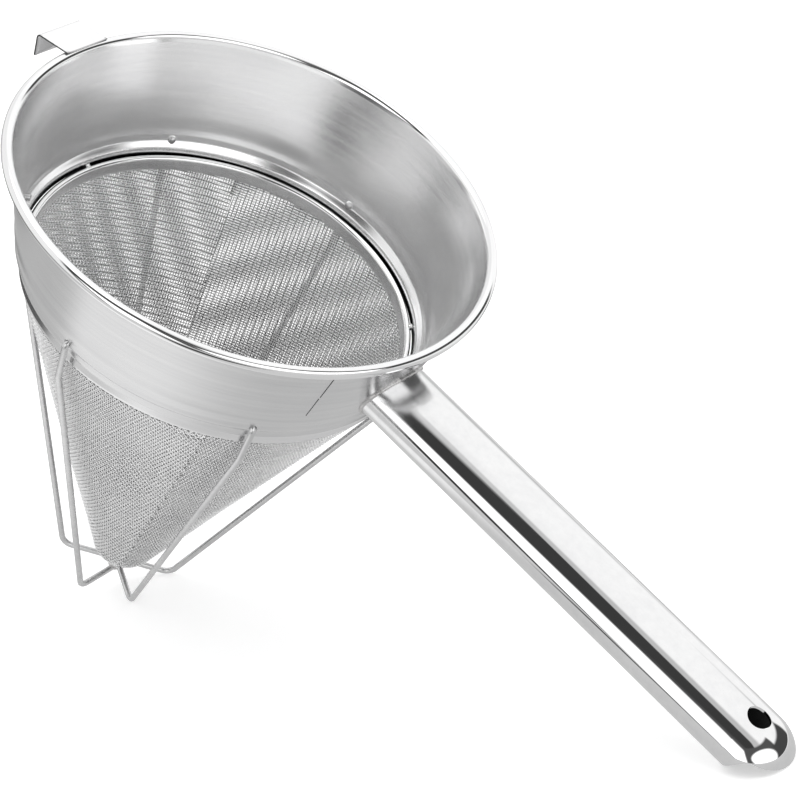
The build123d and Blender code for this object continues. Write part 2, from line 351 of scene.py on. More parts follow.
class Nodes:
    """Short calls for building a material's node tree."""

    def __init__(self, name):
        self.material = bpy.data.materials.new(name)
        self.material.use_nodes = True
        self.tree = self.material.node_tree
        self.tree.nodes.clear()
        self.out = self.tree.nodes.new("ShaderNodeOutputMaterial")
        self.shader = self.tree.nodes.new("ShaderNodeBsdfPrincipled")
        self.tree.links.new(self.shader.outputs[0], self.out.inputs["Surface"])

    def node(self, kind, **values):
        n = self.tree.nodes.new(kind)
        for key, value in values.items():
            setattr(n, key, value)
        return n

    def link(self, a, b):
        self.tree.links.new(a, b)

    def math(self, operation, *values):
        return math_node(self.tree, operation, *values)

    def own_coordinates(self):
        """Object coordinates turned into the strainer's own, in metres."""
        coordinates = self.node("ShaderNodeTexCoord")
        mapping = self.node("ShaderNodeMapping", vector_type="TEXTURE")
        mapping.inputs["Location"].default_value = tuple(RIM_CENTRE / 1000)
        mapping.inputs["Rotation"].default_value = (0, LEAN, 0)
        self.link(coordinates.outputs["Object"], mapping.inputs["Vector"])
        return mapping.outputs[0]

    def around(self):
        """(arc, radius, height) about the cone's axis, so that grain can run round it."""
        split = self.node("ShaderNodeSeparateXYZ")
        self.link(self.own_coordinates(), split.inputs[0])
        x, y, z = split.outputs
        angle = self.math("ARCTAN2", y, x)
        join = self.node("ShaderNodeCombineXYZ")
        self.link(self.math("MULTIPLY", angle, ARC_RADIUS), join.inputs[0])
        self.link(length_node(self.tree, x, y), join.inputs[1])
        self.link(z, join.inputs[2])
        return join.outputs[0]

    def scaled(self, vector, scale):
        mapping = self.node("ShaderNodeMapping")
        mapping.inputs["Scale"].default_value = scale
        self.link(vector, mapping.inputs["Vector"])
        return mapping.outputs[0]

    def noise(self, vector, scale, detail, roughness):
        n = self.node("ShaderNodeTexNoise")
        n.inputs["Scale"].default_value = scale
        n.inputs["Detail"].default_value = detail
        n.inputs["Roughness"].default_value = roughness
        self.link(vector, n.inputs["Vector"])
        return n.outputs["Fac"]

    def ramp(self, value, low, high, from_min=0.3, from_max=0.7):
        n = self.node("ShaderNodeMapRange")
        n.inputs["From Min"].default_value = from_min
        n.inputs["From Max"].default_value = from_max
        n.inputs["To Min"].default_value = low
        n.inputs["To Max"].default_value = high
        self.link(value, n.inputs["Value"])
        return n.outputs[0]

    def tint(self, value, dark, light):
        n = self.node("ShaderNodeMix", data_type="RGBA")
        n.inputs["A"].default_value = (*dark, 1)
        n.inputs["B"].default_value = (*light, 1)
        self.link(value, n.inputs["Factor"])
        return n.outputs["Result"]

    def bump(self, height, strength, distance):
        n = self.node("ShaderNodeBump")
        n.inputs["Strength"].default_value = strength
        n.inputs["Distance"].default_value = distance
        self.link(height, n.inputs["Height"])
        return n.outputs[0]

    def facing_out(self):
        """1 where a face looks away from the cone's axis, -1 where it looks in, between them on edges."""
        turn = self.node("ShaderNodeMapping", vector_type="TEXTURE")
        turn.inputs["Rotation"].default_value = (0, LEAN, 0)
        self.link(self.node("ShaderNodeNewGeometry").outputs["Normal"], turn.inputs["Vector"])
        normal = self.node("ShaderNodeSeparateXYZ")
        self.link(turn.outputs[0], normal.inputs[0])
        point = self.node("ShaderNodeSeparateXYZ")
        self.link(self.own_coordinates(), point.inputs[0])
        x, y, _ = point.outputs
        along = self.math("ADD", self.math("MULTIPLY", normal.outputs[0], x),
                          self.math("MULTIPLY", normal.outputs[1], y))
        radial = self.math("DIVIDE", along, length_node(self.tree, x, y))
        return self.math("SUBTRACT", self.math("MULTIPLY", radial, cos(CLOTH_ANGLE)),
                         self.math("MULTIPLY", normal.outputs[2], sin(CLOTH_ANGLE)))

    def place(self):
        """Distance from the axis and height up it, in metres."""
        split = self.node("ShaderNodeSeparateXYZ")
        self.link(self.around(), split.inputs[0])
        return split.outputs[1], split.outputs[2]

    def edge_wear_and_shade(self):
        """0 on flat metal, rising to 1 along convex edges: it gives the edges' wear in roughness and painted
        shade in colour.
        """
        n = self.node("ShaderNodeNewGeometry")
        return self.ramp(n.outputs["Pointiness"], 0.0, 1.0, 0.52, 0.62)


def steel(name, dark, light, rough, grain, grain_depth, grain_strength=0.15, round_axis=True,
          shade=None, dull=None, metallic=1.0):
    """Stainless steel: grain that runs round the axis, cloudy polish, and rubbed edges. shade takes the nodes
    and gives painted shade, from 0 where the colour is painted dark to 1 where the metal keeps its own
    colour. dull takes them and gives the least roughness."""
    m = Nodes(name)
    own = m.around() if round_axis else m.own_coordinates()
    plain = m.own_coordinates()
    streaks = m.noise(m.scaled(own, grain), 1.0, 4.0, 0.6)
    clouds = m.noise(plain, 38.0, 3.0, 0.5)
    mixed = m.math("ADD", m.math("MULTIPLY", streaks, 0.6), m.math("MULTIPLY", clouds, 0.4))
    color = m.tint(m.ramp(mixed, 0, 1, 0.35, 0.65), dark, light)
    # Painted shade: the colour goes towards near black where the shade mask is low.
    if shade:
        painted_shade = m.node("ShaderNodeMix", data_type="RGBA")
        painted_shade.inputs["A"].default_value = PAINTED_SHADE_COLOR
        m.link(color, painted_shade.inputs["B"])
        m.link(shade(m), painted_shade.inputs["Factor"])
        color = painted_shade.outputs["Result"]
    m.link(color, m.shader.inputs["Base Color"])
    m.shader.inputs["Metallic"].default_value = metallic
    low, high = rough
    mixed = m.math("ADD", m.math("MULTIPLY", clouds, 0.55), m.math("MULTIPLY", streaks, 0.45))
    surface = m.ramp(mixed, low, high, 0.35, 0.65)
    surface = m.math("ADD", surface, m.math("MULTIPLY", m.edge_wear_and_shade(), EDGE_ROUGH))
    if dull:
        surface = m.math("MAXIMUM", surface, dull(m))
    m.link(surface, m.shader.inputs["Roughness"])
    m.link(m.bump(streaks, grain_strength, grain_depth), m.shader.inputs["Normal"])
    return m.material


def shade_lip(m):
    """Painted shade in the gap under the lip's edge, on the lip's inside face."""
    _, height = m.place()
    above = m.ramp(height, 0.0, 1.0, *(z / 1000 for z in LIP_DARK_Z))
    outside = m.ramp(m.facing_out(), 0.0, 1.0, -0.4, 0.1)
    return m.math("MAXIMUM", above, outside)


def shade_ring(m):
    """Painted shade on the side of the ring's crown that faces the lip."""
    radius, height = m.place()
    inward = m.ramp(radius, 1.0, 0.0, (CHANNEL_R + 0.5) / 1000, (CHANNEL_R + 1.0) / 1000)
    below = m.ramp(height, 1.0, 0.0, (CHANNEL_LEG_TOP - 1.2) / 1000, (CHANNEL_LEG_TOP - 0.4) / 1000)
    return m.math("MAXIMUM", inward, below)


def shade_edges(m):
    """Painted shade along convex edges."""
    return m.ramp(m.edge_wear_and_shade(), 1.0, 0.2, 0.1, 0.7)


def shade_fine(m):
    """Painted shade on the side of the fine wires that faces the support cloth."""
    return m.ramp(m.facing_out(), 1.0, 0.1, -0.1, 0.5)


def shade_support(m):
    """Painted shade on the side of the support wires that faces the fine cloth."""
    return m.ramp(m.facing_out(), 0.16, 1.0, -0.1, 0.45)


def dull_root(m):
    """The handle is blended by hand round its weld, so it is less bright there."""
    radius, _ = m.place()
    return m.ramp(radius, 0.17, 0.0, *(r / 1000 for r in ROOT_DULL_R))


satin = steel("satin_band", (0.68, 0.68, 0.685), (0.76, 0.76, 0.76), (0.19, 0.25), grain=(10, 420, 420),
              grain_depth=0.000002, grain_strength=0.05, shade=shade_lip)
# The wall's inside: a lighter copy of the band's steel, as painted light.
satin_inside_painted_light = steel("satin_band_inside_painted_light", (0.86, 0.86, 0.865), (0.93, 0.93, 0.93), (0.19, 0.25),
                     grain=(10, 420, 420), grain_depth=0.000002, grain_strength=0.05, shade=shade_lip)
# The rolled bead: smoother, and painted lighter than the wall as painted light.
bead_steel = steel("rolled_bead", (0.86, 0.86, 0.865), (0.93, 0.93, 0.93), (0.05, 0.10), grain=(14, 200, 200),
                   grain_depth=0.000004, grain_strength=0.08)
ring_steel = steel("rolled_ring", (0.80, 0.80, 0.805), (0.88, 0.88, 0.88), (0.12, 0.20), grain=(20, 300, 300),
                   grain_depth=0.000006, grain_strength=0.1, shade=shade_ring)
pin_steel = steel("bright_pin", (0.74, 0.74, 0.745), (0.84, 0.84, 0.84), (0.12, 0.20), grain=(200, 200, 200),
                  grain_depth=0.00001, round_axis=False)
polished = steel("mirror_handle", (0.80, 0.80, 0.805), (0.86, 0.86, 0.86), (0.015, 0.05),
                 grain=(260, 260, 260), grain_depth=0.000004, grain_strength=0.06, round_axis=False,
                 dull=dull_root)
bright = steel("bright_hook", (0.90, 0.90, 0.905), (0.95, 0.95, 0.95), (0.10, 0.18),
               grain=(90, 300, 90), grain_depth=0.000003, grain_strength=0.05, round_axis=False,
               shade=shade_edges)
wire_steel = steel("drawn_wire", (0.62, 0.62, 0.625), (0.74, 0.74, 0.74), (0.20, 0.30),
                   grain=(300, 300, 300), grain_depth=0.00002, round_axis=False)
weave_steel = steel("woven_wire", (0.88, 0.88, 0.885), (0.96, 0.96, 0.96), (0.22, 0.32),
                    grain=(120, 120, 120), grain_depth=0.00001, round_axis=False,
                    shade=shade_support, metallic=0.4)
fine_steel = steel("fine_woven_wire", (0.90, 0.90, 0.905), (0.97, 0.97, 0.97), (0.26, 0.36),
                   grain=(120, 120, 120), grain_depth=0.00001, round_axis=False,
                   shade=shade_fine, metallic=0.25)
# The hook strip's narrow sides: near black, as painted shade.
strip_side_shade_steel = steel("cut_edge_painted_shade", (0.05, 0.05, 0.05), (0.12, 0.12, 0.12), (0.3, 0.5),
                       grain=(300, 300, 300), grain_depth=0.00002, round_axis=False)
seam_steel = steel("seam", (0.06, 0.06, 0.06), (0.16, 0.16, 0.16), (0.3, 0.5),
                   grain=(500, 500, 500), grain_depth=0.00005, round_axis=False)
# The handle tube's inside faces: near black, as painted shade.
handle_inside_shade_steel = steel("handle_inside_painted_shade", (0.03, 0.03, 0.03), (0.06, 0.06, 0.06), (0.5, 0.7),
                    grain=(60, 60, 60), grain_depth=0.00005, round_axis=False)
weld_steel = steel("weld", (0.52, 0.515, 0.51), (0.72, 0.715, 0.71), (0.20, 0.36),
                   grain=(500, 500, 500), grain_depth=0.0001, grain_strength=0.3, round_axis=False)


# ---------------------------------------------------------------------------------------------
# Band
# ---------------------------------------------------------------------------------------------
CURL_R = BEAD_R - SHEET / 2
CREASE_TO_BEAD = hypot(BEAD_CENTRE_R - CREASE[0], CREASE[1])
WALL_ANGLE = atan2(-CREASE[1], BEAD_CENTRE_R - CREASE[0]) + asin(CURL_R / CREASE_TO_BEAD)
LIP_ANGLE = atan2(CREASE[1] - LIP[1], CREASE[0] - LIP[0])


def wall_r(z, out=0.0):
    """Radius of the band's wall at a height: of the middle of its sheet, or out from there."""
    return CREASE[0] + (z - CREASE[1]) / tan(WALL_ANGLE) + out / sin(WALL_ANGLE)


def band_wobble(a, z):
    """Slight unevenness of the spun sheet, in mm, dying away at the rim, and its swell above the crease."""
    depth = np.clip(-z / 20, 0, 1)
    dr = depth * (0.07 * np.sin(5 * a + z / 9) + 0.05 * np.sin(9 * a - z / 6)) + 0.10 * np.sin(2 * a + 0.7)
    dr = dr + 0.35 * np.exp(-(((z + 39.5) / 3.6) ** 2))
    return dr, 0.12 * np.sin(3 * a + 1.3)


def make_band():
    start, steps = WALL_ANGLE + pi / 2, 40
    turns = [start - CURL_TURN * k / steps for k in range(steps + 1)]
    arc = [(BEAD_CENTRE_R + CURL_R * cos(t), CURL_R * sin(t)) for t in turns]
    wall = rounded([LIP, *LIP_STEP, CREASE, arc[0]], [1.5, 1.5, 7.0], step=0.3)
    line = np.concatenate([resampled(wall, 1.5)[:-1], arc])
    points, faces = revolved(thickened(line, SHEET), 360, band_wobble)
    obj = piece("band_sheet", points, faces, satin, ["band"])
    clean_normals(obj)
    pegs = [tube([polar(r, az, LEG_HOLE_Z) for r in (80.0, 92.0)], LEG_HOLE_R, 40) for _, az in guard_legs()]
    cut_holes(obj, hole_cutter("leg_hole_cutter", pegs))
    polish_bead_and_paint_band_light(obj)


def polish_bead_and_paint_band_light(obj):
    """The rolled bead is brighter than the wall, and the wall's inside brighter than its outside: both are
    painted light, lighter copies of the wall's steel, though the bead is also smoother.
    """
    obj.data.materials.append(bead_steel)
    obj.data.materials.append(satin_inside_painted_light)
    outside, bead, inside = range(3)
    centres = np.empty(3 * len(obj.data.polygons))
    normals = np.empty(3 * len(obj.data.polygons))
    obj.data.polygons.foreach_get("center", centres)
    obj.data.polygons.foreach_get("normal", normals)
    own = from_row(centres.reshape(-1, 3))
    ahead = from_row(centres.reshape(-1, 3) + normals.reshape(-1, 3) / 1000) - own
    on_bead = np.hypot(np.hypot(own[:, 0], own[:, 1]) - BEAD_CENTRE_R, own[:, 2]) < BEAD_R + 0.35
    faces_in = (ahead[:, :2] * own[:, :2]).sum(axis=1) < 0
    index = np.where(on_bead, bead, np.where(faces_in, inside, outside))
    obj.data.polygons.foreach_set("material_index", index.astype(np.int32))


def guard_legs():
    """The number of each guard wire with the azimuth of each of its legs."""
    return [(number, leg[0]) for number, (_, *legs) in enumerate(GUARD_WIRES.values()) for leg in legs]


def make_band_seam():
    """The weld line down the wall, in two stretches, each a low ridge of uneven width."""
    steps = 40
    strips = []
    for azimuth, top_z, bottom_z, half_width in ((-27.2, -5.0, -20.0, 0.35), (-27.3, -21.0, -33.5, 0.4)):
        rows = []
        for k in range(steps + 1):
            z = top_z + (bottom_z - top_z) * k / steps
            width = half_width * (0.6 + 0.4 * sin(k * 1.7)) / wall_r(z)
            for side, lift in ((-1, 0.0), (-0.4, 0.16), (0.4, 0.16), (1, 0.0)):
                r = wall_r(z, SHEET / 2 + lift)
                a = radians(azimuth) + side * width
                rows.append((r * cos(a), r * sin(a), z))
        faces = [(4 * k + j, 4 * k + j + 1, 4 * k + j + 5, 4 * k + j + 4)
                 for k in range(steps) for j in range(3)]
        strips.append((np.array(rows), faces))
    points, faces = joined(strips)
    piece("band_seam_line", points, faces, seam_steel, ["band_seam_weld"])


# ---------------------------------------------------------------------------------------------
# Mesh ring and hoop
# ---------------------------------------------------------------------------------------------
def make_ring():
    """The channel, open downwards, and the hoop wire inside it."""
    turns = [pi * k / 16 for k in range(17)]
    crown = [(CHANNEL_R - CHANNEL_HALF * cos(t), CHANNEL_LEG_TOP + CHANNEL_HALF * sin(t)) for t in turns]
    feet = [(CHANNEL_R - CHANNEL_HALF, CHANNEL_FOOT), (CHANNEL_R + CHANNEL_HALF, CHANNEL_FOOT)]
    line = resampled(np.array([feet[0], *crown, feet[1]]), 1.0)

    def ring_wobble(a, z):
        return 0.10 * np.sin(3 * a + 2.0) + 0.05 * np.sin(7 * a), 0.10 * np.sin(4 * a + 0.4)

    points, faces = revolved(thickened(line, CHANNEL_SHEET), 300, ring_wobble)
    clean_normals(piece("mesh_channel", points, faces, ring_steel, ["mesh_ring"]))
    a = np.arange(240) * 2 * pi / 240
    hoop_r = CHANNEL_R + 0.49
    circle = np.stack([hoop_r * np.cos(a), hoop_r * np.sin(a), np.full(240, CHANNEL_LEG_TOP - 1.2)], axis=1)
    points, faces = tube(circle, 0.44, 10, closed=True)
    piece("channel_hoop", points, faces, wire_steel, ["hoop_wire"])


# ---------------------------------------------------------------------------------------------
# Woven cones
# ---------------------------------------------------------------------------------------------
BALL_Z = TIP_Z + TIP_R
SLANT_TANGENT = TIP_R / tan(CLOTH_ANGLE)
APEX_Z = BALL_Z - TIP_R / sin(CLOTH_ANGLE)
SLANT_TOP = CONE_TOP_R / sin(CLOTH_ANGLE)
CLOTH_TOP = SLANT_TOP + (MESH_TOP_Z - CONE_TOP_Z)
SHEET_CENTRE_AZ = radians(127.0)
SHEET_HALF_TURN = pi * sin(CLOTH_ANGLE)
# How far the cloth's two ends lap, in radians of the flat cloth, and its two sheets along the centre
# line, in mm.
LAP_TURN = 0.03
CENTRE_LAP = 0.85
WIRE_SIDES = 4

# Each sheet of a layer: the side of the centre line that it covers (0 for both), its pitch across and
# down, and its turn against the centre line.
FINE_CLOTH = [(0, 1.1, 1.1, 0.0)]
SUPPORT_CLOTH = [(1, 1.153, 1.6, radians(2.2)), (-1, 1.6, 1.16, radians(1.85))]


def smooth_step(x):
    x = np.clip(x, 0, 1)
    return x * x * (3 - 2 * x)


def bump_at(azimuth, degrees_round, width):
    """1 at one azimuth, falling to 0 on both sides of it."""
    return np.exp(-((np.angle(np.exp(1j * (azimuth - radians(degrees_round)))) / width) ** 2))


def dents(azimuth, slant):
    """How far the soft cloth stands off a true cone, in mm."""
    t = np.clip((slant - SLANT_TANGENT) / (SLANT_TOP - SLANT_TANGENT), 0, 1)
    free = np.sin(pi * t) ** 0.8
    waves = 0.35 * np.sin(4 * azimuth + 5 * t) + 0.25 * np.sin(7 * azimuth - 9 * t + 1.0)
    near_seam = -3.0 * bump_at(azimuth, -66, 0.28) * smooth_step((t - 0.45) * 3)
    bulge_left = 1.2 * bump_at(azimuth, -165, 0.5)
    flat_right = -1.2 * bump_at(azimuth, -20, 0.5)
    return free * (waves + near_seam + bulge_left + flat_right)


def on_cone(across, down, lift):
    """Points of the flat cloth, wrapped round the cone. across and down are in mm on the flat cloth,
    measured from the cone's apex, with down along the sheet's centre line."""
    slant = np.hypot(across, down)
    turn = np.arctan2(across, down)
    azimuth = SHEET_CENTRE_AZ + turn / sin(CLOTH_ANGLE)
    lapped = smooth_step((turn - SHEET_HALF_TURN + 0.05) / 0.05) * smooth_step((SLANT_TOP - 1 - slant) / 5)
    lift = lift + dents(azimuth, slant) + 0.9 * lapped
    cone_r = slant * sin(CLOTH_ANGLE)
    cone_z = APEX_Z + slant * cos(CLOTH_ANGLE)
    normal_r = np.full_like(slant, cos(CLOTH_ANGLE))
    normal_z = np.full_like(slant, -sin(CLOTH_ANGLE))
    cap = slant < SLANT_TANGENT
    polar_angle = (pi / 2 - CLOTH_ANGLE) * np.clip(slant / SLANT_TANGENT, 0, 1)
    cone_r = np.where(cap, TIP_R * np.sin(polar_angle), cone_r)
    cone_z = np.where(cap, BALL_Z - TIP_R * np.cos(polar_angle), cone_z)
    normal_r = np.where(cap, np.sin(polar_angle), normal_r)
    normal_z = np.where(cap, -np.cos(polar_angle), normal_z)
    neck = slant > SLANT_TOP
    cone_r = np.where(neck, CONE_TOP_R, cone_r)
    cone_z = np.where(neck, CONE_TOP_Z + (slant - SLANT_TOP), cone_z)
    normal_r = np.where(neck, 1.0, normal_r)
    normal_z = np.where(neck, 0.0, normal_z)
    r = cone_r + normal_r * lift
    z = cone_z + normal_z * lift
    return np.stack([r * np.cos(azimuth), r * np.sin(azimuth), z], axis=-1)


def crossings(i, j, sheet):
    """Where wires i and j of a sheet cross on the flat cloth, and whether the cloth reaches there."""
    side, pitch_across, pitch_down, tilt = sheet
    u, v = (i + 0.37) * pitch_across, (j + 0.29) * pitch_down
    across, down = u * cos(tilt) - v * sin(tilt), u * sin(tilt) + v * cos(tilt)
    on_cloth = (np.hypot(across, down) < CLOTH_TOP) & (side * across > -CENTRE_LAP)
    return across, down, on_cloth & (np.abs(np.arctan2(across, down)) < SHEET_HALF_TURN + LAP_TURN)


def woven_wires(sheets, crimp, lift):
    """Every wire of one layer of cloth, as a list of paths that pass over and under at each crossing."""
    wires = []
    for sheet in sheets:
        last_across, last_down = (int(CLOTH_TOP / pitch) + 2 for pitch in sheet[1:3])
        all_across = np.arange(-last_across, last_across + 1)
        all_down = np.arange(-last_down, last_down + 1)
        for i in all_across:
            over = np.where((i + all_down) % 2 == 0, crimp, -crimp)
            wires += runs(*crossings(np.full(len(all_down), i), all_down, sheet), lift + over)
        for j in all_down:
            over = np.where((all_across + j) % 2 == 0, -crimp, crimp)
            wires += runs(*crossings(all_across, np.full(len(all_across), j), sheet), lift + over)
    return wires


def runs(across, down, on_cloth, lift):
    """The stretches of one wire that lie on the cloth."""
    found = []
    index = np.flatnonzero(on_cloth)
    for group in np.split(index, np.flatnonzero(np.diff(index) > 1) + 1):
        if len(group) >= 3:
            found.append(on_cone(across[group], down[group], lift[group]))
    return found


def wire_mesh(paths, wire_r):
    """One mesh of thin tubes with open ends, made all at once."""
    points, faces, base = [], [], 0
    ang = np.arange(WIRE_SIDES) * 2 * pi / WIRE_SIDES + pi / 4
    for path in paths:
        n = len(path)
        tangent = np.gradient(path, axis=0)
        tangent /= np.linalg.norm(tangent, axis=1)[:, None]
        outward = path * np.array([1, 1, 0]) + np.array([0, 0, -1e-3])
        side = np.cross(tangent, outward)
        side /= np.linalg.norm(side, axis=1)[:, None]
        up = np.cross(side, tangent)
        ring = np.cos(ang)[None, :, None] * side[:, None, :] + np.sin(ang)[None, :, None] * up[:, None, :]
        points.append((path[:, None, :] + ring * wire_r).reshape(-1, 3))
        i = np.arange(n - 1)[:, None] * WIRE_SIDES
        j = np.arange(WIRE_SIDES)[None, :]
        j2 = (j + 1) % WIRE_SIDES
        quad = np.stack([i + j, i + j2, i + WIRE_SIDES + j2, i + WIRE_SIDES + j], axis=-1)
        faces.append(quad.reshape(-1, 4) + base)
        base += n * WIRE_SIDES
    return np.concatenate(points), np.concatenate(faces)


def fast_mesh(name, points, faces):
    """A mesh of four-sided faces, filled straight from arrays."""
    mesh = bpy.data.meshes.new(name)
    mesh.vertices.add(len(points))
    mesh.vertices.foreach_set("co", to_row(points).astype(np.float32).ravel())
    mesh.loops.add(faces.size)
    mesh.loops.foreach_set("vertex_index", faces.astype(np.int32).ravel())
    mesh.polygons.add(len(faces))
    mesh.polygons.foreach_set("loop_start", np.arange(len(faces), dtype=np.int32) * 4)
    mesh.polygons.foreach_set("use_smooth", np.ones(len(faces), bool))
    mesh.update(calc_edges=True)
    mesh.validate()
    return mesh


def make_weave(name, nodes, material, sheets, wire_r, crimp, lift):
    """One layer of cloth, in as many pieces as the limit on a piece's triangles asks for."""
    paths = woven_wires(sheets, crimp, lift)
    limit = PIECE_TRIANGLES // (2 * WIRE_SIDES)
    group, count, number = [], 0, 1
    for path in paths + [None]:
        if path is None or count + len(path) > limit:
            mesh = fast_mesh(f"{name}_{number}", *wire_mesh(group, wire_r))
            finish_piece(f"{name}_{number}", mesh, material, nodes)
            group, count, number = [], 0, number + 1
        if path is not None:
            group.append(path)
            count += len(path)


# ---------------------------------------------------------------------------------------------
# Guard
# ---------------------------------------------------------------------------------------------
def guard_path(level, leg_a, leg_b):
    (az_a, foot_a, r_a), (az_b, foot_b, r_b) = leg_a, leg_b
    corners = [
        polar(LEG_END_R, az_a, LEG_HOLE_Z),
        polar(SHOULDER_R, az_a, LEG_HOLE_Z),
        polar(KINK[0], az_a, KINK[1]),
        polar(r_a, foot_a, level),
        polar(r_b, foot_b, level),
        polar(KINK[0], az_b, KINK[1]),
        polar(SHOULDER_R, az_b, LEG_HOLE_Z),
        polar(LEG_END_R, az_b, LEG_HOLE_Z),
    ]
    return rounded(corners, GUARD_CORNER_R, step=0.4)


def make_guard():
    for name, (level, leg_a, leg_b) in GUARD_WIRES.items():
        points, faces = tube(resampled(guard_path(level, leg_a, leg_b), 6.0), GUARD_R, 18)
        piece(name + "_rod", points, faces, wire_steel, [name])


def blob(centre, radii, axes, seed, lumps, detail=3):
    """A small lump of weld metal, as uneven as lumps says."""
    b = bmesh.new()
    bmesh.ops.create_icosphere(b, subdivisions=detail, radius=1.0)
    pts = np.array([v.co[:] for v in b.verts])
    faces = [tuple(v.index for v in f.verts) for f in b.faces]
    b.free()
    k = seed * 1.7
    swell = 1 + lumps * (np.sin(3.1 * pts[:, 0] + k) * np.sin(4.3 * pts[:, 1] + 2 * k)
                         + 0.6 * np.sin(7 * pts[:, 2] + 3 * k + 2 * pts[:, 0]))
    pts = pts * swell[:, None] * np.array(radii)
    return np.asarray(centre) + pts @ np.asarray(axes), faces


def make_guard_welds():
    points, faces = blob((0, 0, -222.2), (3.6, 3.6, 2.7), np.eye(3), 1, 0.14, 4)
    piece("hub_weld_lump", points, faces, weld_steel, ["hub_weld"])
    hole_r = LIP_STEP[1][0] + 0.1 - SHEET / 2
    lumps = []
    for number, az in guard_legs():
        a = radians(az)
        out = np.array([cos(a), sin(a), 0])
        inward = np.array([0, 0, 1]) * cos(LIP_ANGLE) - out * sin(LIP_ANGLE)
        across = np.cross(inward, out)
        across /= np.linalg.norm(across)
        third = np.cross(across, inward)
        lumps.append(blob(polar(hole_r, az, LEG_HOLE_Z), (1.4, 1.3, 0.2), (across, third, inward),
                          number + az / 50, 0.10))
    points, faces = joined(lumps)
    piece("leg_end_nuggets", points, faces, pin_steel, ["leg_end_welds"])


def make_pins():
    """Short rods from the mesh ring's crown up to the lip, thicker at both ends where they are welded."""
    rods = []
    for az in PIN_AZIMUTHS:
        a = radians(az)
        direction = np.array([cos(a) * cos(PIN_RISE), sin(a) * cos(PIN_RISE), sin(PIN_RISE)])
        middle = polar(CHANNEL_R, az, CHANNEL_LEG_TOP)
        rods.append(tube([middle + direction * t for t in (1.2, 1.5, 1.9, 2.3, 2.6)],
                         [1.5, 1.25, 1.1, 1.2, 1.2], 16))
    points, faces = joined(rods)
    piece("ring_pin_rods", points, faces, pin_steel, ["ring_pins"])


# ---------------------------------------------------------------------------------------------
# Handle
# ---------------------------------------------------------------------------------------------
def band_reach(u, v, out):
    """How far along the handle a line at (u, v) leaves the band's outer face."""
    low, high = -15.0, 30.0
    for _ in range(40):
        mid = (low + high) / 2
        x, y, z = along_handle(mid, u, v)
        if hypot(x, y) > wall_r(z, out):
            high = mid
        else:
            low = mid
    return (low + high) / 2


def cut_height(s):
    """Height of the cut underside at s: an S from the bottom up to the tongue's edge."""
    t = np.clip((s - CUT_S) / 12.0, 0, 1)
    return -HANDLE_H + (CUT_V + HANDLE_H) * smooth_step(t ** 0.8)


def make_handle():
    """An oval tube cut to the band's wall at its root, then straight, then a round nose cut open below."""
    columns, root_rows = 121, 8
    end_turn = acos(CUT_V / HANDLE_H)
    straight = np.concatenate([np.linspace(ROOT_S, CUT_S, 60), np.linspace(CUT_S, NOSE_S, 14)[1:]])
    dome = NOSE_S + HANDLE_W * np.sin(np.linspace(0, end_turn, 34)[1:])
    stations = np.concatenate([straight, dome])
    share = np.linspace(0, 1, columns)
    rows = []
    for k in range(root_rows):
        row = []
        for c in share:
            a = -pi / 2 + 2 * pi * c
            u, v = HANDLE_W * cos(a), HANDLE_H * sin(a)
            begin = band_reach(u, v, SHEET / 2 - 0.3)
            row.append(along_handle(begin + (ROOT_S - begin) * k / root_rows, u, v))
        rows.append(row)
    for s in stations:
        size = 1.0 if s <= NOSE_S else sqrt(max(0.0, 1 - ((s - NOSE_S) / HANDLE_W) ** 2))
        h, w = HANDLE_H * size, HANDLE_W * size
        low = -pi / 2
        if s > CUT_S:
            low = asin(max(-1.0, min(1.0, cut_height(s) / h)))
        rows.append([along_handle(s, w * cos(low + (pi - 2 * low) * c), h * sin(low + (pi - 2 * low) * c))
                     for c in share])
    points = np.array(rows).reshape(-1, 3)
    n = len(rows)
    faces = [(i * columns + j, i * columns + j + 1, (i + 1) * columns + j + 1, (i + 1) * columns + j)
             for i in range(n - 1) for j in range(columns - 1)]
    obj = piece("handle_tube", points, faces, polished, ["handle"])
    clean_normals(obj)
    # The tube's inside faces get the near-black painted shade.
    obj.data.materials.append(handle_inside_shade_steel)
    wall = obj.modifiers.new("wall", "SOLIDIFY")
    wall.thickness = HANDLE_WALL / 1000
    wall.offset = -1
    wall.material_offset = 1
    peg = tube([along_handle(HOLE_S, 0, v) for v in (3.0, 20.0)], HOLE_R, 64)
    cut_holes(obj, hole_cutter("hang_hole_cutter", [peg]))


def make_handle_weld():
    steps = 240
    path, radius = [], []
    for k in range(steps):
        a = 2 * pi * k / steps
        u, v = (HANDLE_W + 0.25) * cos(a), (HANDLE_H + 0.25) * sin(a)
        path.append(along_handle(band_reach(u, v, SHEET / 2 + 0.25), u, v))
        radius.append(0.72 + 0.04 * sin(k * 0.9) + 0.05 * sin(k * 0.37))
    points, faces = tube(path, radius, 12, closed=True)
    piece("handle_weld_bead", points, faces, weld_steel, ["handle_weld"])


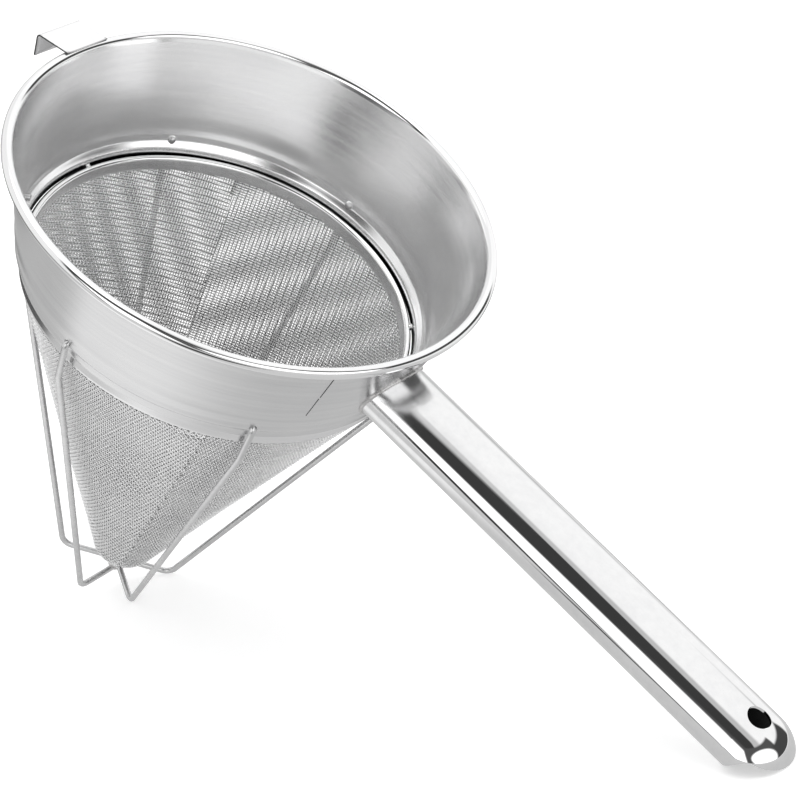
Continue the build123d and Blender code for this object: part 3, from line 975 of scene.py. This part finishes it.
# ---------------------------------------------------------------------------------------------
# Rest hook
# ---------------------------------------------------------------------------------------------
def make_hook():
    """A bent strip from the bead outwards, with a short leg turned down."""
    start_z = BEAD_R + HOOK_T / 2
    bend_z = start_z - (HOOK_BEND_R - HOOK_START_R) * tan(HOOK_SLOPE)
    line = rounded([(HOOK_START_R, start_z), (HOOK_BEND_R, bend_z), HOOK_END], [1.8], step=0.3)
    outline = thickened(resampled(line, 1.5), HOOK_T)
    count, rows = len(outline), 13
    points = np.array([(-r, y, z) for y in np.linspace(-HOOK_W / 2, HOOK_W / 2, rows) for r, z in outline])
    starts = [i * count for i in range(rows - 1)]
    faces = [(i + j, i + (j + 1) % count, i + count + (j + 1) % count, i + count + j)
             for i in starts for j in range(count)]
    sides = [tuple(range(base, base + count)) for base in (0, (rows - 1) * count)]
    obj = piece("rest_hook_strip", points, faces + sides, bright, ["rest_hook"])
    clean_normals(obj)
    bevel = obj.modifiers.new("edges", "BEVEL")
    bevel.width = 0.00018
    bevel.segments = 2
    bevel.limit_method = "ANGLE"
    bevel.angle_limit = radians(50)
    apply_modifiers(obj)
    obj.data.materials.append(strip_side_shade_steel)
    # The strip's narrow sides get the near-black painted shade.
    for face in obj.data.polygons:
        face.material_index = int(abs(face.normal.y) > 0.9)
    x, apart, z = HOOK_WELD
    points, faces = joined([blob((x, y, z), (1.6, 2.6, 0.9), np.eye(3), y, 0.1) for y in (-apart, apart)])
    piece("hook_weld_spots", points, faces, weld_steel, ["hook_welds"])


make_band()
make_band_seam()
make_ring()
make_weave("fine_weave", ["fine_mesh"], fine_steel, FINE_CLOTH, wire_r=0.19, crimp=0.22, lift=0.0)
make_weave("support_weave", ["support_mesh", "mesh_seam"], weave_steel, SUPPORT_CLOTH,
           wire_r=0.26, crimp=0.42, lift=1.1)
make_guard()
make_guard_welds()
make_pins()
make_handle()
make_handle_weld()
make_hook()


# ---------------------------------------------------------------------------------------------
# Floor, light and camera
# ---------------------------------------------------------------------------------------------
def plain_card(name, corners, color, emission=0.0, faces=((0, 1, 2, 3),)):
    """A matt paper surface of the stage, which isn't part of the object."""
    mesh = bpy.data.meshes.new(name)
    mesh.from_pydata(corners, [], faces)
    obj = bpy.data.objects.new(name, mesh)
    bpy.context.scene.collection.objects.link(obj)
    m = Nodes(name + "_paper")
    plain = m.node("ShaderNodeTexCoord").outputs["Object"]
    light = tuple(min(1.0, c * 1.02) for c in color)
    m.link(m.tint(m.ramp(m.noise(plain, 3.0, 3.0, 0.55), 0, 1), color, light), m.shader.inputs["Base Color"])
    m.shader.inputs["Roughness"].default_value = 0.9
    m.shader.inputs["Emission Color"].default_value = (1, 1, 1, 1)
    m.shader.inputs["Emission Strength"].default_value = emission
    obj.data.materials.append(m.material)
    return obj


class Panels:
    """A brightness made of soft-edged panels laid over one another in two coordinates."""

    def __init__(self, tree, u, v, base, wrap=False):
        self.tree, self.u, self.v, self.wrap = tree, u, v, wrap
        value = tree.nodes.new("ShaderNodeValue")
        value.outputs[0].default_value = base
        self.level = value.outputs[0]

    def math(self, operation, *values):
        return math_node(self.tree, operation, *values)

    def between(self, value, low, high, soft):
        """1 inside the range, 0 outside, with edges that fade over the soft width."""
        middle, half = (low + high) / 2, (high - low) / 2
        away = self.math("ABSOLUTE", self.math("SUBTRACT", value, middle))
        n = self.tree.nodes.new("ShaderNodeMapRange")
        n.interpolation_type = "SMOOTHSTEP"
        n.inputs["From Min"].default_value = half + soft / 2
        n.inputs["From Max"].default_value = max(half - soft / 2, 0.0)
        self.tree.links.new(away, n.inputs["Value"])
        return n.outputs[0]

    def lay(self, mask, level):
        """Lay a brightness over what is there, where the mask is 1."""
        change = self.math("SUBTRACT", level, self.level)
        self.level = self.math("ADD", self.level, self.math("MULTIPLY", mask, change))

    def panel(self, across, up, level, soft):
        low, high = across
        u = self.u
        if self.wrap:
            middle = (low + high) / 2
            u = self.math("WRAP", self.math("SUBTRACT", u, middle), 180.0, -180.0)
            low, high = low - middle, high - middle
        mask = self.math("MULTIPLY", self.between(u, low, high, soft), self.between(self.v, *up, soft))
        self.lay(mask, level)

    def ellipse(self, u_centre, v_centre, u_radius, v_radius, level, soft):
        u = self.math("DIVIDE", self.math("SUBTRACT", self.u, u_centre), u_radius)
        v = self.math("DIVIDE", self.math("SUBTRACT", self.v, v_centre), v_radius)
        self.lay(self.between(length_node(self.tree, u, v), -1.0, 1.0, soft), level)


# Panels as (across, up, brightness, soft width). The floor's are in metres along x and y, and the sky's
# in degrees of azimuth and height. Later ones lie over earlier ones.
# The floor's panels paint the floor as reflections see it: painted reflection, with painted shade in its
# darker panels.
FLOOR_BASE = 0.62
FLOOR_PANELS = [
    ((-0.8, 1.0), (0.22, 3.0), 0.9, 0.2),
    ((-0.35, 0.08), (0.24, 0.50), 0.4, 0.08),
    ((-3.0, -0.45), (-3.0, 3.0), 0.55, 0.2),
    ((-3.0, -0.80), (-1.2, 1.2), 0.05, 0.15),
    ((-0.36, -0.06), (-0.26, -0.06), 0.98, 0.12),
    ((-0.16, -0.03), (0.10, 0.22), 0.25, 0.08),
    ((-0.03, 0.34), (-0.64, -0.26), 0.04, 0.05),
]
SKY_BASE = 0.95
SKY_PANELS = [
    ((-180, 180), (70, 110), 2.0, 8),
    ((-30, 125), (-5, 66), 1.10, 20),
    ((98, 150), (-6, 12), 0.60, 10),
    ((138, 176), (-30, 20), 0.62, 12),
    ((-106, -99), (-6, 48), 0.05, 2),
    ((-98, -62), (-4, 38), 1.6, 3),
    ((-90, 0), (38, 68), 0.60, 14),
    ((-100, -22), (38, 63), 0.05, 5),
    ((-60, 30), (-8, 43), 0.10, 5),
    ((22, 76), (-8, 25), 0.07, 6),
]
# A round lamp: its centre, its half widths, its brightness and its soft edge.
SKY_LAMP = (-12, 11, 34, 22, 1.5, 0.2)
FLOOR_HALF = 3.0
CARD_HIDDEN_FROM = ("camera", "diffuse", "shadow")
BACKDROP_HIDDEN_FROM = ("diffuse", "glossy", "transmission", "shadow")
CAMERA_PLACE = (0.60083, -0.67374, 0.48026)
CAMERA_RIGHT = Vector((0.780363, 0.61461, -0.115266))
CAMERA_BACK = Vector((0.607105, -0.70047, 0.375192))
CAMERA_LENS = 110.53


def hide_from(obj, rays):
    for ray in rays:
        setattr(obj, "visible_" + ray, False)


def floor_corners(z):
    return [(x * FLOOR_HALF, y * FLOOR_HALF, z) for x, y in ((-1, -1), (1, -1), (1, 1), (-1, 1))]


def make_floor():
    """A pale floor, and a card just above it that only reflections see: a painted reflection of the floor,
    with its shade painted in as darker panels.
    """
    floor = plain_card("floor", floor_corners(-0.0002), (0.90, 0.90, 0.90), 0.42)
    hide_from(floor, ["glossy"])
    card = plain_card("floor_in_steel", floor_corners(-0.0001), (0.0, 0.0, 0.0))
    hide_from(card, CARD_HIDDEN_FROM)
    tree = card.data.materials[0].node_tree
    split = tree.nodes.new("ShaderNodeSeparateXYZ")
    tree.links.new(tree.nodes.new("ShaderNodeTexCoord").outputs["Object"], split.inputs[0])
    seen = Panels(tree, split.outputs[0], split.outputs[1], FLOOR_BASE)
    for panel in FLOOR_PANELS:
        seen.panel(*panel)
    principled = next(n for n in tree.nodes if n.type == "BSDF_PRINCIPLED")
    tree.links.new(seen.level, principled.inputs["Emission Strength"])


def make_backdrop():
    """A pale wall round the stage, seen only directly, so that it neither lights nor shades the object."""
    count, wall_distance, wall_height = 96, 2.9, 6.0
    turns = [2 * pi * k / count for k in range(count)]
    corners = [(wall_distance * cos(t), wall_distance * sin(t), z)
               for z in (-0.01, wall_height) for t in turns]
    faces = [(k, (k + 1) % count, count + (k + 1) % count, count + k) for k in range(count)]
    wall = plain_card("backdrop", corners, (0.0, 0.0, 0.0), 1.0, faces=faces)
    hide_from(wall, BACKDROP_HIDDEN_FROM)


def make_world():
    world = bpy.data.worlds.new("studio")
    bpy.context.scene.world = world
    world.use_nodes = True
    tree = world.node_tree
    split = tree.nodes.new("ShaderNodeSeparateXYZ")
    tree.links.new(tree.nodes.new("ShaderNodeTexCoord").outputs["Generated"], split.inputs[0])
    x, y, z = split.outputs
    azimuth = math_node(tree, "MULTIPLY", math_node(tree, "ARCTAN2", y, x), 180 / pi)
    height = math_node(tree, "MULTIPLY", math_node(tree, "ARCSINE", z), 180 / pi)
    sky = Panels(tree, azimuth, height, SKY_BASE, wrap=True)
    for panel in SKY_PANELS:
        sky.panel(*panel)
    sky.ellipse(*SKY_LAMP)
    background = tree.nodes["Background"]
    tree.links.new(sky.level, background.inputs["Strength"])
    background.inputs["Color"].default_value = (1, 1, 1, 1)


def make_camera():
    camera = bpy.data.cameras.new("camera")
    camera.sensor_width = 36
    camera.lens = CAMERA_LENS
    obj = bpy.data.objects.new("camera", camera)
    turn = Matrix((CAMERA_RIGHT, CAMERA_BACK.cross(CAMERA_RIGHT), CAMERA_BACK)).transposed().to_4x4()
    obj.matrix_world = Matrix.Translation(CAMERA_PLACE) @ turn
    bpy.context.scene.collection.objects.link(obj)
    bpy.context.scene.camera = obj


make_floor()
make_backdrop()
make_world()
make_camera()
bpy.context.scene.view_settings.view_transform = "Standard"
